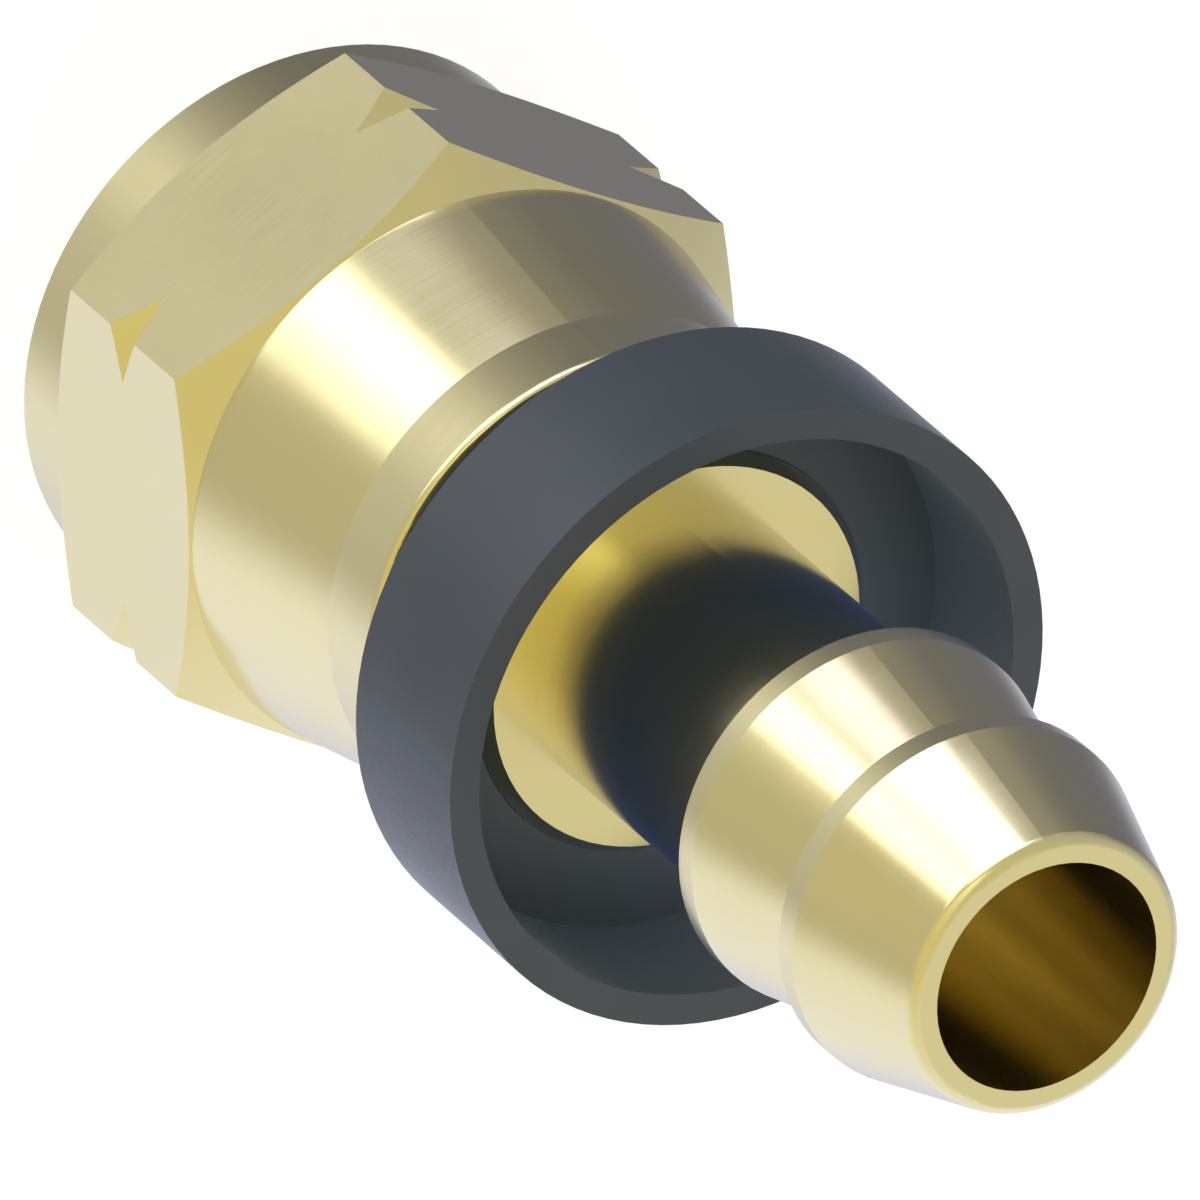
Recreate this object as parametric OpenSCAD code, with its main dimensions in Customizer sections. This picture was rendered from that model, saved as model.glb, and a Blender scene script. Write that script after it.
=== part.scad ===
// Push-on hose fitting with a swivel nut.
// It stands on the nut's open end, with the axis along +Z towards the hose end.
// A corner of the hexagon points along +X.

/* [Swivel nut, outside] */
// Distance across the flats of the hexagon
hex_flats = 17.46; // [16.8:0.02:19]
// How far the round ends lie under the flats, on the radius
round_relief = 0.07; // [0.03:0.01:0.3]
// Length of the round collar at the open end
open_collar_len = 2; // [0.8:0.1:4]
// Length of the hexagon with both of its chamfers
hex_len = 7.44; // [6:0.02:12]
// Angle of the chamfers that break the hexagon's corners
hex_chamfer_angle = 30; // [15:1:40]
// Depth of the V-groove turned across the hexagon's corners
corner_groove_depth = 0.68; // [0.3:0.02:1.1]
// Angle between the two sides of that groove
corner_groove_angle = 90; // [60:5:110]
// Length of the tapered skirt behind the hexagon
skirt_taper_len = 5.81; // [4.4:0.01:8]
// Angle that the skirt tapers at
skirt_angle = 10; // [6:0.5:11]
// Length of the straight lip that closes the skirt
skirt_lip_len = 2.3; // [1:0.1:4]
// Rounding of the lip's outer edge, left by the rolling
lip_rounding = 0.25; // [0.1:0.05:0.4]

/* [Swivel nut, inside] */
// Root diameter of the internal thread
thread_root_d = 14.28; // [13.9:0.02:14.8]
// Length of the threaded wall
thread_len = 6.15; // [4:0.05:6.3]
// Length of the lead-in chamfer at the mouth of the thread
thread_lead_in = 0.45; // [0.2:0.05:0.7]
// Bore of the plain rib behind the thread
rib_bore_d = 12.9; // [12.7:0.02:13.3]
// Length of that rib
rib_len = 0.8; // [0.5:0.05:1.2]

/* [Hose stem, swivel end] */
// Diameter of the head that the nut holds
head_d = 13.8; // [13.5:0.02:14.1]
// Length of the head, up to its thrust shoulder
head_len = 3; // [2.6:0.05:3.6]
// Break on the head's front edge
head_chamfer = 0.2; // [0.1:0.05:0.3]
// Half angle of the flare seat in the head
seat_angle = 37; // [35:1:46]
// Diameter of the flare seat's mouth
seat_mouth_d = 12.4; // [11.6:0.05:12.8]
// Angle of the thrust shoulder behind the head, from the axis
thrust_angle = 45; // [40:1:60]
// Diameter of the stem's body inside the skirt
body_d = 12.7; // [12.5:0.02:12.9]

/* [Hose stem, hose end] */
// Length of the body that shows between the skirt's lip and the collar
body_gap = 2.31; // [1:0.01:4]
// Diameter of the seat that the collar is pushed on to
collar_seat_d = 12.24; // [12:0.02:12.4]
// Diameter of the seat's flat end face, inside its chamfer
seat_face_d = 11.6; // [11:0.02:11.9]
// Length of that chamfer along the axis
seat_chamfer_len = 0.4; // [0.2:0.05:0.45]
// How far the seat's end stands out of the collar's floor
seat_proud = 0.45; // [0.2:0.05:1]
// Diameter of the smooth stem under the hose
stem_d = 8.75; // [8.4:0.05:9.3]
// Length of smooth stem from the seat's end face to the first barb
grip_len = 9.76; // [8:0.02:14]
// Diameter of the barb nearer the collar
inner_barb_d = 11.13; // [10.8:0.01:11.5]
// Diameter of the barb nearer the hose end
tip_barb_d = 10.9; // [10.6:0.02:11.1]
// Length of the flat land on each barb
barb_land = 0.71; // [0.3:0.01:1.2]
// Distance from one barb's back edge to the next
barb_pitch = 5.27; // [4.5:0.01:6]
// Taper of the inner barb's slope, from the axis
inner_barb_angle = 12.4; // [9:0.1:13.5]
// Taper of the tip barb's slope, from the axis
tip_barb_angle = 16; // [12:0.5:18]
// Length of the tip barb's slope, up to the end face
tip_len = 4.41; // [3.4:0.01:5]
// Rounding of the end lip
end_rounding = 0.39; // [0.1:0.01:0.45]
// Bore through the stem
bore_d = 6.91; // [6.4:0.01:7.1]

/* [Collar] */
// Outside diameter of the collar
collar_d = 18.78; // [17.8:0.02:21]
// Length of the collar
collar_len = 5.2; // [3:0.05:8]
// Thickness of the floor that sits on the stem
collar_floor = 0.89; // [0.6:0.01:1.5]
// Thickness of the wall round the hose
collar_wall = 0.93; // [0.6:0.01:1.4]

/* [Clearances] */
// Radial clearance between the nut and the stem
swivel_clearance = 0.08; // [0.03:0.01:0.1]
// Play of the stem's head along the axis, at each of its two ends
swivel_end_play = 0.1; // [0.05:0.01:0.2]
// Radial clearance of the collar's hole on its seat
collar_clearance = 0.02; // [0.01:0.01:0.05]

/* [Hidden] */

// Facets of a full turn where the shape is only previewed
$fn = 96;
// Overshoot of a cut past the surface that it opens
cut = 1;
// Overlap of two outlines that are joined
join = 0.1;

// Radii of the nut
hex_r = hex_flats / 2 / cos(30);
round_r = hex_flats / 2 - round_relief;
lip_r = round_r - skirt_taper_len * tan(skirt_angle);
thread_r = thread_root_d / 2;

// Stations of the nut along the axis
hex_z0 = open_collar_len;
hex_z1 = hex_z0 + hex_len;
skirt_z1 = hex_z1 + skirt_taper_len;
lip_z1 = skirt_z1 + skirt_lip_len;
groove_z = (hex_z0 + hex_z1) / 2;
chamfer_len = (hex_r - round_r) * tan(hex_chamfer_angle);
groove_half = corner_groove_depth * tan(corner_groove_angle / 2);
thread_z1 = thread_lead_in + thread_len;
rib_z1 = thread_z1 + rib_len;

// Radii of the stem
head_r = head_d / 2;
body_r = body_d / 2;
seat_r = collar_seat_d / 2;
stem_r = stem_d / 2;
bore_r = bore_d / 2;
mouth_r = seat_mouth_d / 2;
barb_r = [inner_barb_d / 2, tip_barb_d / 2];
barb_foot_r = barb_r[0] - (barb_pitch - barb_land) * tan(inner_barb_angle);

// Stations of the stem along the axis
head_z0 = rib_z1 + swivel_end_play;
head_z1 = head_z0 + head_len;
shoulder_len = (head_r - body_r) / tan(thrust_angle);
flare_len = (mouth_r - bore_r) / tan(seat_angle);
collar_z0 = lip_z1 + body_gap;
floor_z1 = collar_z0 + collar_floor;
seat_z1 = floor_z1 + seat_proud;
barb_z = [seat_z1 + grip_len, seat_z1 + grip_len + barb_pitch];
tip_z0 = barb_z[1] + barb_land;
end_z = tip_z0 + tip_len;

// The round end lip: its arc's centre, where the tip's slope touches it
round_z = end_z - end_rounding;
round_c = barb_r[1] - (round_z - tip_z0) * tan(tip_barb_angle) - end_rounding / cos(tip_barb_angle);

// Radii of the collar
collar_r = collar_d / 2;
cup_r = collar_r - collar_wall;
hole_r = seat_r + collar_clearance;

// Outline of the nut's turned outside, from the open end to the skirt's lip
module nut_outline() {
    polygon([
        [0, 0],
        [round_r, 0],
        [round_r, hex_z0],
        [hex_r, hex_z0 + chamfer_len],
        [hex_r, groove_z - groove_half],
        [hex_r - corner_groove_depth, groove_z],
        [hex_r, groove_z + groove_half],
        [hex_r, hex_z1 - chamfer_len],
        [round_r, hex_z1],
        [lip_r, skirt_z1],
        [lip_r, lip_z1 - lip_rounding],
        [lip_r - lip_rounding, lip_z1],
        [0, lip_z1],
    ]);
    translate([lip_r - lip_rounding, lip_z1 - lip_rounding]) circle(lip_rounding);
}

// Outline of the space inside the nut: thread, rib, head room and body bore
module nut_space() {
    head_room_r = head_r + swivel_clearance;
    body_room_r = body_r + swivel_clearance;
    shoulder_z = head_z1 + swivel_end_play;
    polygon([
        [0, -cut],
        [thread_r + thread_lead_in + cut, -cut],
        [thread_r, thread_lead_in],
        [thread_r, thread_z1],
        [rib_bore_d / 2, thread_z1],
        [rib_bore_d / 2, rib_z1],
        [head_room_r, rib_z1],
        [head_room_r, shoulder_z],
        [body_room_r, shoulder_z + shoulder_len],
        [body_room_r, lip_z1 + cut],
        [0, lip_z1 + cut],
    ]);
}

// The nut: a hexagon bar turned down at both ends, with its skirt rolled in behind the stem's head
module swivel_nut() color("#c9b26a") {
    difference() {
        union() {
            intersection() {
                cylinder(h = hex_z1, r = hex_r, $fn = 6);
                rotate_extrude() nut_outline();
            }
            rotate_extrude() intersection() {
                nut_outline();
                translate([0, hex_z1 - join]) square([round_r, lip_z1 - hex_z1 + join]);
            }
        }
        rotate_extrude() nut_space();
    }
}

// Outline of the stem without its bore: head, body, seat, smooth stem, two barbs and the round end lip
module stem_outline() {
    polygon([
        [0, head_z0],
        [head_r - head_chamfer, head_z0],
        [head_r, head_z0 + head_chamfer],
        [head_r, head_z1],
        [body_r, head_z1 + shoulder_len],
        [body_r, collar_z0],
        [seat_r, collar_z0],
        [seat_r, seat_z1 - seat_chamfer_len],
        [seat_face_d / 2, seat_z1],
        [stem_r, seat_z1],
        [stem_r, barb_z[0]],
        [barb_r[0], barb_z[0]],
        [barb_r[0], barb_z[0] + barb_land],
        [barb_foot_r, barb_z[1]],
        [barb_r[1], barb_z[1]],
        [barb_r[1], tip_z0],
        [round_c + end_rounding * cos(tip_barb_angle), round_z + end_rounding * sin(tip_barb_angle)],
        [round_c, end_z],
        [0, end_z],
    ]);
    translate([round_c, round_z]) circle(end_rounding);
}

// Outline of the passage through the stem, which opens into the flare seat
module stem_bore() {
    polygon([
        [0, head_z0 - cut],
        [mouth_r + cut * tan(seat_angle), head_z0 - cut],
        [bore_r, head_z0 + flare_len],
        [bore_r, end_z + cut],
        [0, end_z + cut],
    ]);
}

// The stem, turned in one piece
module hose_stem() color("#d8c680") {
    rotate_extrude() difference() {
        stem_outline();
        stem_bore();
    }
}

// The collar: a moulded cup that covers the end of the hose
module collar() color("#3c4247") {
    rotate_extrude() difference() {
        translate([hole_r, collar_z0]) square([collar_r - hole_r, collar_len]);
        translate([hole_r - join, floor_z1]) square([cup_r - hole_r + join, collar_len]);
    }
}

swivel_nut();
hose_stem();
collar();
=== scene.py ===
# %% [markdown]
# A push-on hose fitting, dressed for a studio picture.
#
# The real object is three pieces: a swivel nut, the turned stem that it spins on, and a black plastic
# collar pushed on to the stem. All three come in as finished solids, in metres, standing on the nut's open
# end with the hose end up. They keep their shapes. What is left to make here is the thread inside the nut,
# the finish of the brass, the finish of the plastic, and a studio that lights them as in the photograph.

# %% Load the fixed frame
import math

import bpy
from mathutils import Matrix, Quaternion, Vector


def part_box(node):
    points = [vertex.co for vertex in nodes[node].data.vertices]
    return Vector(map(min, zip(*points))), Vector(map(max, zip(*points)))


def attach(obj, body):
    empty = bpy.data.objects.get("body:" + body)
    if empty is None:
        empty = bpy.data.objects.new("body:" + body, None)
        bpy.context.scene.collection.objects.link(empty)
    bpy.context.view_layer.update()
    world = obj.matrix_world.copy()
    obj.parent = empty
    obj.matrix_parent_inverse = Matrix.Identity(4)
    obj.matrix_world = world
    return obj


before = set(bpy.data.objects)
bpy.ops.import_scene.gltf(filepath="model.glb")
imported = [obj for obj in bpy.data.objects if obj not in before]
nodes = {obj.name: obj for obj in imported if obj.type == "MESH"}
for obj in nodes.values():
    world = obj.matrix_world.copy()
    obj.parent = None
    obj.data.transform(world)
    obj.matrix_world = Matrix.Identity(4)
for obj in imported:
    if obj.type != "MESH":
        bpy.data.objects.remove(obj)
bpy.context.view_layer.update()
MM = 0.001
for name in sorted(nodes):
    low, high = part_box(name)
    size = [round((high[i] - low[i]) / MM, 2) for i in range(3)]
    print(name, "measures", size, "mm and starts at z", round(low[2] / MM, 2))

# %% [markdown]
# The photograph is drawn without perspective: circles at both ends of the part have the same tilt, and
# equal steps along the axis stay equal. A parallel camera would copy that at once, but it can't back away
# from the part, so it would crop the views from the sides. A very long lens from far off looks almost the
# same and does back away. Its place and turn were fitted to the circles that can be measured in the
# photograph.

# %% Make the camera
LENS = 1600
SENSOR = 36
CAMERA_PLACE = (731.785, 633.744, 1121.64)
CAMERA_TURN = (-0.6127037, 0.3521353, -0.0000663, 0.7075273)
camera_data = bpy.data.cameras.new("studio_camera")
camera_data.lens = LENS
camera_data.sensor_width = SENSOR
camera_data.sensor_height = SENSOR
camera_data.clip_start = 0.1
camera_data.clip_end = 10
camera = bpy.data.objects.new("studio_camera", camera_data)
bpy.context.scene.collection.objects.link(camera)
camera.rotation_mode = "QUATERNION"
camera.location = Vector(CAMERA_PLACE) * MM
camera.rotation_quaternion = Quaternion(CAMERA_TURN)
bpy.context.scene.camera = camera
print("camera stands", round(camera.location.length, 3), "m from the part")

# %% [markdown]
# The thread inside the nut is a 60 degree ridge that climbs 1.411 mm a turn, 18 turns to the inch. On the
# real nut a tap cuts it. The solid stops at the thread's root, so the ridge is added here. It could be
# drawn by hand turn by turn, but a closed outline swept by a Screw modifier gives the exact pitch. It
# starts below the mouth and ends past the rib, and is then trimmed by a sleeve that has the nut's lead-in
# chamfer, as the countersink trims the first turns of the real thread. All sizes are in millimetres. The
# ridge reaches into the wall by a small bite, so that no gap can open between the two.

# %% Sizes of the thread
PITCH = 1.411
ROOT_R = 7.14
CREST_R = 6.46
BITE = 0.04
FLANK_SLOPE = math.tan(math.radians(30))
LEAD_IN_MOUTH_R = 7.58
THREAD_TOP = 6.6
FIRST_TURN_Z = -1.2 * PITCH
TURNS = 7
STEPS = 96
SLEEVE_IN_R = 6.0
SLEEVE_OUT_R = 7.4
SMOOTH_BELOW = math.radians(25)
flank = (ROOT_R - CREST_R) * FLANK_SLOPE
base_half = (PITCH - PITCH / 8) / 2
crest_half = base_half - flank
print("crest flat of the thread", round(2 * crest_half, 3), "mm")


# %% Helpers for modelling by hand
def choose(piece):
    """Makes one object the active one and the only one selected."""
    bpy.ops.object.select_all(action="DESELECT")
    piece.select_set(True)
    bpy.context.view_layer.objects.active = piece


def edit(piece):
    """Opens one object in edit mode with nothing selected."""
    choose(piece)
    bpy.ops.object.mode_set(mode="EDIT")
    bpy.ops.mesh.select_all(action="DESELECT")


def done():
    """Leaves edit mode and deselects everything."""
    bpy.ops.object.mode_set(mode="OBJECT")
    bpy.ops.object.select_all(action="DESELECT")


def new_outline(name, points):
    """A closed outline in the XZ plane, in millimetres, as a mesh object at the origin."""
    mesh = bpy.data.meshes.new(name)
    corners = [(x * MM, 0, z * MM) for x, z in points]
    edges = [(i, (i + 1) % len(corners)) for i in range(len(corners))]
    mesh.from_pydata(corners, edges, [])
    piece = bpy.data.objects.new(name, mesh)
    bpy.context.scene.collection.objects.link(piece)
    return piece


def apply_all(piece):
    """Applies the piece's modifiers in their order."""
    choose(piece)
    for modifier in list(piece.modifiers):
        bpy.ops.object.modifier_apply(modifier=modifier.name)
    bpy.ops.object.select_all(action="DESELECT")


def tidy_normals(piece, merge=0.0001 * MM):
    """Merges points closer than merge and turns all faces outwards."""
    edit(piece)
    bpy.ops.mesh.select_all(action="SELECT")
    bpy.ops.mesh.remove_doubles(threshold=merge)
    bpy.ops.mesh.normals_make_consistent(inside=False)
    done()


# %% Sweep the ridge
ridge_points = [
    (ROOT_R + BITE, -base_half - BITE * FLANK_SLOPE),
    (ROOT_R + BITE, base_half + BITE * FLANK_SLOPE),
    (CREST_R, crest_half),
    (CREST_R, -crest_half),
]
thread = new_outline("nut_thread", ridge_points)
edit(thread)
bpy.ops.mesh.select_all(action="SELECT")
bpy.ops.transform.translate(value=(0, 0, FIRST_TURN_Z * MM))
bpy.ops.mesh.edge_face_add()
done()
sweep = thread.modifiers.new("climb", "SCREW")
sweep.axis = "Z"
sweep.angle = math.tau
sweep.screw_offset = PITCH * MM
sweep.iterations = TURNS
sweep.steps = STEPS
sweep.render_steps = STEPS
sweep.use_smooth_shade = False
apply_all(thread)
print("swept ridge has", len(thread.data.polygons), "faces")

# %% Close the ridge's two ends
edit(thread)
bpy.ops.mesh.select_mode(type="VERT")
bpy.ops.mesh.select_non_manifold(extend=False)
bpy.ops.mesh.fill_holes(sides=4)
done()
tidy_normals(thread)

# %% Trim the ridge with a turned sleeve
sleeve_points = [
    (SLEEVE_IN_R, LEAD_IN_MOUTH_R - SLEEVE_IN_R),
    (SLEEVE_OUT_R, LEAD_IN_MOUTH_R - SLEEVE_OUT_R),
    (SLEEVE_OUT_R, THREAD_TOP + BITE / 2),
    (SLEEVE_IN_R, THREAD_TOP + BITE / 2),
]
sleeve = new_outline("sleeve", sleeve_points)
edit(sleeve)
bpy.ops.mesh.select_all(action="SELECT")
bpy.ops.mesh.spin(steps=2 * STEPS, angle=math.tau, center=(0, 0, 0), axis=(0, 0, 1))
done()
tidy_normals(sleeve)
trim = thread.modifiers.new("trim", "BOOLEAN")
trim.operation = "INTERSECT"
trim.solver = "EXACT"
trim.object = sleeve
apply_all(thread)
bpy.data.objects.remove(sleeve, do_unlink=True)
tidy_normals(thread, merge=0.001 * MM)
choose(thread)
bpy.ops.object.shade_smooth_by_angle(angle=SMOOTH_BELOW)
bpy.ops.object.select_all(action="DESELECT")
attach(thread, "nut")
print("trimmed thread has", len(thread.data.polygons), "faces")

# %% [markdown]
# Materials are node trees. Each one starts from the Principled shader, and the patterns are made from
# Object coordinates, which for every piece here are metres from the foot of the axis. A lathe leaves rings
# round the axis, so the patterns on turned faces depend on two things only: the distance from the axis and
# the height.


# %% Helpers for materials
def new_material(name):
    """A material with a Principled shader. Returns it, its node tree and the shader."""
    material = bpy.data.materials.new(name)
    material.use_nodes = True
    tree = material.node_tree
    return material, tree, tree.nodes["Principled BSDF"]


def add(tree, kind, **inputs):
    """Adds a node and sets its inputs by name."""
    node = tree.nodes.new(kind)
    for key, value in inputs.items():
        node.inputs[key.replace("_", " ")].default_value = value
    return node


def math_node(tree, operation, first, second=None):
    """A Math node whose two operands are numbers or sockets. Returns its output."""
    node = tree.nodes.new("ShaderNodeMath")
    node.operation = operation
    for socket, value in zip(node.inputs, (first, second)):
        if value is None:
            continue
        if isinstance(value, bpy.types.NodeSocket):
            tree.links.new(value, socket)
        else:
            socket.default_value = value
    return node.outputs[0]


def map_range(tree, value, span, to, kind="LINEAR"):
    """A Map Range node from one span to another. Returns its output."""
    node = tree.nodes.new("ShaderNodeMapRange")
    node.interpolation_type = kind
    tree.links.new(value, node.inputs["Value"])
    node.inputs["From Min"].default_value = span[0]
    node.inputs["From Max"].default_value = span[1]
    node.inputs["To Min"].default_value = to[0]
    node.inputs["To Max"].default_value = to[1]
    return node.outputs[0]


def blend_colours(tree, share, first, second):
    """A Mix node for colours. Each colour is a tuple or a socket. Returns its output."""
    node = tree.nodes.new("ShaderNodeMix")
    node.data_type = "RGBA"
    node.clamp_factor = True
    tree.links.new(share, node.inputs[0])
    for socket, value in ((node.inputs[6], first), (node.inputs[7], second)):
        if isinstance(value, bpy.types.NodeSocket):
            tree.links.new(value, socket)
        else:
            socket.default_value = (*value, 1)
    return node.outputs[2]


# %% [markdown]
# Brass is a metal, so its colour is the colour of its mirror image: a full Metallic value and a pale gold
# base colour. The fitting is bright turned and polished, so roughness stays low. Three quiet things keep it
# from looking like plain chrome with a tint. The tool left rings, which show as the finest bump and as
# rings that are a little more or less polished. The rings follow each other along the axis on the cylinders
# and outwards on the end faces, and both come from one noise that is read at (distance from the axis,
# height). Broad, faint cloudiness in the roughness is the trace of handling. The colour drifts by a hair,
# as it does between bright and slightly toned metal.
#
# Where the brass mirrors something dark it isn't left black. A little sheen with a blue tint lays a faint
# bluish glow over the mirror: the sheen answers to the lights, but its blue is painted bluish light on the
# dark parts. The bore gets a deeper gold, which is painted light too: it stands for the deeper gold of
# light bouncing inside the bore. Everything as close to the axis as the bore's wall therefore gets the
# deeper colour and none of the blue sheen, so its corners stay dark.


# %% Mix the brass
BRASS = (0.950, 0.860, 0.449)
TONED = (0.936, 0.838, 0.431)
# Deeper gold for the bore: painted light, standing for the deeper gold of light bouncing inside the bore.
PAINTED_BORE_GOLD = (0.955, 0.828, 0.425)
PAINTED_BORE_UP_TO_R = 3.47 * MM
OUTSIDE_FROM_R = 3.52 * MM
RING_SCALE = 9000.0
RING_DEPTH = 0.002 * MM
CLOUD_SCALE = 170.0
NOISE_SPAN = (0.3, 0.7)
# Blue tint of the sheen: painted bluish light over the mirror, while the sheen itself answers to the
# lights.
PAINTED_BLUE_SHEEN_TINT = (0, 0.2, 1, 1)


def brass_material(name, rough, rings, sheen_painted_blue):
    """Polished brass. rough is its least and most roughness, rings the strength of the turning rings, and
    the last argument the strength of the sheen on its outside, whose blue tint is painted bluish light."""
    material, tree, shader = new_material(name)
    place = add(tree, "ShaderNodeTexCoord").outputs["Object"]
    split = add(tree, "ShaderNodeSeparateXYZ")
    tree.links.new(place, split.inputs[0])
    across = math_node(tree, "POWER", split.outputs["X"], 2)
    along = math_node(tree, "POWER", split.outputs["Y"], 2)
    radius = math_node(tree, "SQRT", math_node(tree, "ADD", across, along))
    lathe = tree.nodes.new("ShaderNodeCombineXYZ")
    tree.links.new(radius, lathe.inputs["X"])
    tree.links.new(split.outputs["Z"], lathe.inputs["Z"])

    ring = add(tree, "ShaderNodeTexNoise", Scale=RING_SCALE, Detail=3.0, Roughness=0.6)
    tree.links.new(lathe.outputs[0], ring.inputs["Vector"])
    cloud = add(tree, "ShaderNodeTexNoise", Scale=CLOUD_SCALE, Detail=4.0, Roughness=0.55)
    tree.links.new(place, cloud.inputs["Vector"])

    polish = math_node(tree, "ADD", math_node(tree, "MULTIPLY", ring.outputs["Fac"], 0.45),
                       math_node(tree, "MULTIPLY", cloud.outputs["Fac"], 0.55))
    tree.links.new(map_range(tree, polish, NOISE_SPAN, rough), shader.inputs["Roughness"])

    tone = map_range(tree, cloud.outputs["Fac"], (0.35, 0.75), (0, 1))
    turned = blend_colours(tree, tone, BRASS, TONED)
    # Inside the bore's wall the painted deeper gold takes over and the blue sheen goes away, so the bore's
    # corners stay dark.
    outside = map_range(tree, radius, (PAINTED_BORE_UP_TO_R, OUTSIDE_FROM_R), (0, 1))
    tree.links.new(blend_colours(tree, outside, PAINTED_BORE_GOLD, turned), shader.inputs["Base Color"])
    # Strength of the sheen, none in the bore: its blue is painted bluish light over the dark parts of the
    # mirror.
    tree.links.new(math_node(tree, "MULTIPLY", outside, sheen_painted_blue), shader.inputs["Sheen Weight"])
    shader.inputs["Sheen Roughness"].default_value = 0.6
    shader.inputs["Sheen Tint"].default_value = PAINTED_BLUE_SHEEN_TINT

    bump = add(tree, "ShaderNodeBump", Strength=rings, Distance=RING_DEPTH)
    tree.links.new(ring.outputs["Fac"], bump.inputs["Height"])
    tree.links.new(bump.outputs[0], shader.inputs["Normal"])
    shader.inputs["Metallic"].default_value = 1
    return material


nut_brass = brass_material("nut_brass", rough=(0.17, 0.24), rings=0.25, sheen_painted_blue=0.16)
stem_brass = brass_material("stem_brass", rough=(0.16, 0.22), rings=0.2, sheen_painted_blue=0.21)
thread_brass = brass_material("thread_brass", rough=(0.2, 0.3), rings=0.4, sheen_painted_blue=0.16)
nodes["swivel_nut"].material_slots[0].material = nut_brass
nodes["hose_stem"].material_slots[0].material = stem_brass
thread.data.materials.append(thread_brass)
print("brass laid on the nut, the stem and the thread,", len(stem_brass.node_tree.nodes), "nodes each")

# %% [markdown]
# The collar is moulded from black plastic. Its colour is a very dark, slightly blue grey. Moulded plastic
# is neither matt nor glossy: a medium roughness shows a soft broad sheen where the ceiling light grazes it.
# The mould's skin is a fine grain, a tenth of a millimetre across, which goes into the bump and faintly
# into the roughness and the colour.

# %% Mix the plastic
GRAIN_SCALE = 6500.0
GRAIN_DEPTH = 0.006 * MM
FLOW_SCALE = 240.0
DARKER = (0.069, 0.084, 0.098)
PALER = (0.077, 0.092, 0.106)
plastic, tree, shader = new_material("collar_plastic_black")
place = add(tree, "ShaderNodeTexCoord").outputs["Object"]
grain = add(tree, "ShaderNodeTexNoise", Scale=GRAIN_SCALE, Detail=2.0, Roughness=0.5)
tree.links.new(place, grain.inputs["Vector"])
flow = add(tree, "ShaderNodeTexNoise", Scale=FLOW_SCALE, Detail=3.0, Roughness=0.5)
tree.links.new(place, flow.inputs["Vector"])
shade = map_range(tree, flow.outputs["Fac"], NOISE_SPAN, (0, 1))
tree.links.new(blend_colours(tree, shade, DARKER, PALER), shader.inputs["Base Color"])
tree.links.new(map_range(tree, grain.outputs["Fac"], NOISE_SPAN, (0.34, 0.42)), shader.inputs["Roughness"])
bump = add(tree, "ShaderNodeBump", Strength=0.25, Distance=GRAIN_DEPTH)
tree.links.new(grain.outputs["Fac"], bump.inputs["Height"])
tree.links.new(bump.outputs[0], shader.inputs["Normal"])
# A sheen with a pale blue tint brightens the grazing edges: the sheen answers to the lights, its blue tint
# is painted bluish light.
shader.inputs["Sheen Weight"].default_value = 0.35
shader.inputs["Sheen Roughness"].default_value = 0.25
shader.inputs["Sheen Tint"].default_value = (0.75, 0.85, 1, 1)
nodes["collar"].material_slots[0].material = plastic
print("plastic laid on the collar,", len(tree.nodes), "nodes")

# %% [markdown]
# Polished metal has no look of its own. What it shows is the room. The photograph's room can be read from
# the part itself: a face that points one way mirrors one direction, so the colours of the cylinders, cones
# and barbs together map the light from all sides. They show pale grey walls, a bright floor, a broad
# ceiling light with a key light and a side light next to it, and one large dark corner that draws the black
# band along the axis.
#
# The part lies in that room: its +X side is up, towards the ceiling. So the room is made in the world,
# turned with its ceiling towards +X, and not with lamps: a lamp near the part would show in each piece at
# another place, while the world is as far off for all of them, as in the photograph.
#
# Each panel below lists its azimuth, elevation and roll, its width and height, the softness of its edge and
# its colour. The lights are brighter than white. A colour socket is easiest to read between 0 and 1, so
# every brightness is divided by one number, and the strength of the world gives it back at the end.

# %% Helpers for the studio
world = bpy.data.worlds.new("studio")
world.use_nodes = True
bpy.context.scene.world = world
studio = world.node_tree
studio.nodes.clear()
sight = add(studio, "ShaderNodeTexCoord").outputs["Generated"]
MOST = 4


def dimmed(colour):
    """A brightness as the world's nodes hold it, between 0 and 1."""
    return [channel / MOST for channel in colour]


def soft_panel(room, azimuth, elevation, roll, width, height, softness, colour):
    """Lays a soft edged light or dark ellipse over the room. Angles are in degrees, with +X as the zenith.
    width and height are its half axes as shares of its distance, softness is its edge's share of them."""
    a = math.radians(azimuth)
    e = math.radians(elevation)
    r = math.radians(roll)
    ahead = Vector((math.sin(e), math.cos(e) * math.cos(a), -math.cos(e) * math.sin(a)))
    side = Vector((0, -math.sin(a), -math.cos(a)))
    above = Vector((math.cos(e), -math.sin(e) * math.cos(a), math.sin(e) * math.sin(a)))
    wide = side * math.cos(r) + above * math.sin(r)
    tall = above * math.cos(r) - side * math.sin(r)
    if wide.cross(tall).dot(ahead) < 0:
        wide = -wide
    turn = Matrix((wide, tall, ahead)).transposed()
    view = studio.nodes.new("ShaderNodeMapping")
    view.vector_type = "TEXTURE"
    view.inputs["Location"].default_value = ahead
    view.inputs["Rotation"].default_value = turn.to_euler()
    view.inputs["Scale"].default_value = (width, height, math.sqrt(width * height))
    studio.links.new(sight, view.inputs["Vector"])
    distance = studio.nodes.new("ShaderNodeVectorMath")
    distance.operation = "LENGTH"
    studio.links.new(view.outputs[0], distance.inputs[0])
    share = map_range(studio, distance.outputs["Value"], (1 - softness, 1 + softness), (1, 0), "SMOOTHSTEP")
    return blend_colours(studio, share, room, dimmed(colour))


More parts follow.
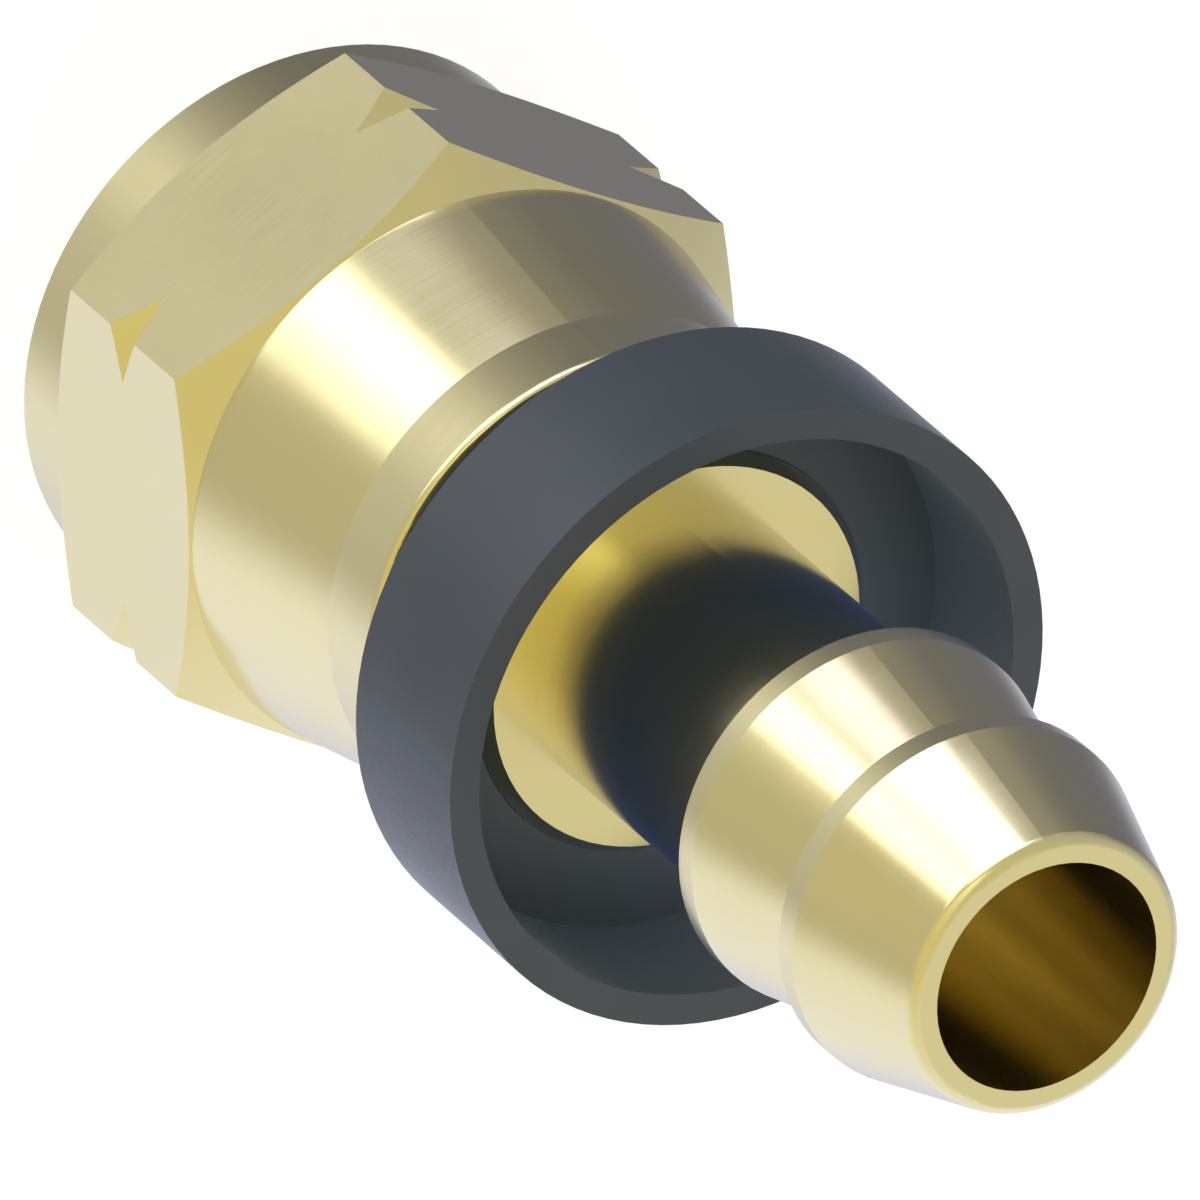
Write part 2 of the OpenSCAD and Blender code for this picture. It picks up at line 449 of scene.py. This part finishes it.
# %% Build the studio
WALL = (0.444, 0.435, 0.458)
BRIGHT_FLOOR = (0.943, 0.967, 1.253)
FLOOR_EDGE = (-0.129, -0.484)
PANELS = {
    "ceiling light": (25.0, 83.0, 24.7, 0.461, 0.361, 0.080, (2.100, 2.250, 3.400)),
    "key light": (34.8, 52.4, 3.8, 0.455, 0.150, 0.328, (3.100, 3.000, 3.500)),
    "side light": (-52.5, 29.7, 34.7, 0.354, 0.412, 0.263, (2.889, 3.000, 2.720)),
    "dark corner": (127.4, 16.2, -4.4, 0.962, 0.619, 0.511, (0.161, 0.164, 0.207)),
    "grey wall": (-134.3, -20.0, 8.6, 0.818, 0.369, 0.900, (0.523, 0.518, 0.569)),
    "warm wall": (-45.0, 9.9, -18.6, 0.938, 1.146, 0.900, (0.683, 0.617, 0.343)),
    "wing of the key light": (51.1, 39.7, -40.2, 0.154, 0.298, 0.080, (3.000, 2.950, 3.200)),
    "pale wall": (81.8, -0.6, -55.9, 0.844, 0.434, 0.638, (0.598, 0.600, 0.653)),
    "low corner": (-120.0, -30.0, 0.0, 0.4, 0.4, 0.5, (0.700, 0.680, 0.600)),
    "strip by the ceiling light": (106.0, 65.6, -12.0, 0.145, 0.060, 0.200, (2.000, 1.950, 2.900)),
}
axes = add(studio, "ShaderNodeSeparateXYZ")
studio.links.new(sight, axes.inputs[0])
low = map_range(studio, axes.outputs["X"], FLOOR_EDGE, (0, 1), "SMOOTHSTEP")
room = blend_colours(studio, low, dimmed(WALL), dimmed(BRIGHT_FLOOR))
for panel in PANELS.values():
    room = soft_panel(room, *panel)
print("the studio has", len(PANELS), "panels and", len(studio.nodes), "nodes")

# %% [markdown]
# The collar is a deep cup of dark plastic, and in the photograph its inside is as evenly lit as its
# outside. The room alone leaves it nearly black, because the cup's wall and the stem hide most of the room
# from its floor. A brighter room would change every mirror image in the brass. A small fill lamp is what a
# photographer adds here. It stands at the stem, low in the cup, lights only the collar, throws no shadow,
# and shows in no mirror.

# %% Light the inside of the cup
FILL_PLACE = (-2.94, -2.56, 23.5)
FILL_WATTS = 0.0007
FILL_COLOUR = (0.8, 0.9, 1)
fill_data = bpy.data.lights.new("cup_fill", "POINT")
fill_data.energy = FILL_WATTS
fill_data.color = FILL_COLOUR
fill_data.shadow_soft_size = 1 * MM
fill_data.use_shadow = False
fill = bpy.data.objects.new("cup_fill", fill_data)
fill.location = Vector(FILL_PLACE) * MM
fill.visible_glossy = False
fill.visible_camera = False
bpy.context.scene.collection.objects.link(fill)
lit_by_fill = bpy.data.collections.new("lit_by_fill")
lit_by_fill.objects.link(nodes["collar"])
fill.light_linking.receiver_collection = lit_by_fill

# %% [markdown]
# The tints of the room belong to its mirror image. On the plastic the photograph shows one hue on all
# sides, so it is lit by plain white light. A Light Path node therefore gives the tinted room to mirror rays
# only, and the same room in greys to all others.
#
# The picture's background is plain white. To the camera the world is therefore white at a strength of 1,
# and the studio is what lights and mirrors. The pale floor is a sheet under the part. It is white to the
# camera too: it glows at most of that white by itself and owes the rest to the room's light, so that the
# fitting still throws a soft shadow on it. The upright cylinders would mirror that near sheet all over and
# lose the room, so mirror rays pass it by. The sheet's underside is see-through, so that the nut's open end
# and its thread can be looked at from below, and it lies a hair under the nut, because two faces in one
# plane flicker.

# %% Close the world
light_path = add(studio, "ShaderNodeLightPath")
lit = add(studio, "ShaderNodeBackground", Strength=float(MOST))
plain = add(studio, "ShaderNodeRGBToBW")
studio.links.new(room, plain.inputs[0])
room_by_ray = blend_colours(studio, light_path.outputs["Is Glossy Ray"], plain.outputs[0], room)
studio.links.new(room_by_ray, lit.inputs["Color"])
white = add(studio, "ShaderNodeBackground", Color=(1, 1, 1, 1), Strength=1.0)
either = add(studio, "ShaderNodeMixShader")
studio.links.new(light_path.outputs["Is Camera Ray"], either.inputs[0])
studio.links.new(lit.outputs[0], either.inputs[1])
studio.links.new(white.outputs[0], either.inputs[2])
end = add(studio, "ShaderNodeOutputWorld")
studio.links.new(either.outputs[0], end.inputs["Surface"])
print("the world has", len(studio.nodes), "nodes")

# %% Lay the floor
FLOOR_SIZE = 0.8
FLOOR_DROP = 0.02 * MM
FLOOR_COLOUR = (0.35, 0.35, 0.35, 1)
FLOOR_GLOW = (0.82, 0.82, 0.82, 1)
bpy.ops.object.select_all(action="DESELECT")
bpy.ops.mesh.primitive_plane_add(size=FLOOR_SIZE, location=(0, 0, -FLOOR_DROP))
floor = bpy.context.view_layer.objects.active
floor.name = "studio_floor"
bpy.ops.object.select_all(action="DESELECT")
pale, tree, shader = new_material("pale_floor")
shader.inputs["Base Color"].default_value = FLOOR_COLOUR
shader.inputs["Roughness"].default_value = 0.9
shader.inputs["Specular IOR Level"].default_value = 0
shader.inputs["Emission Color"].default_value = FLOOR_GLOW
shader.inputs["Emission Strength"].default_value = 1
side_seen = add(tree, "ShaderNodeNewGeometry").outputs["Backfacing"]
clear = add(tree, "ShaderNodeBsdfTransparent")
one_sided = add(tree, "ShaderNodeMixShader")
tree.links.new(side_seen, one_sided.inputs[0])
tree.links.new(shader.outputs[0], one_sided.inputs[1])
tree.links.new(clear.outputs[0], one_sided.inputs[2])
tree.links.new(one_sided.outputs[0], tree.nodes["Material Output"].inputs["Surface"])
floor.data.materials.append(pale)
floor.visible_glossy = False
floor.visible_diffuse = False
print("floor of", FLOOR_SIZE, "m laid", round(FLOOR_DROP / MM, 3), "mm under the part")

# %% Picture settings
bpy.context.scene.view_settings.view_transform = "Standard"
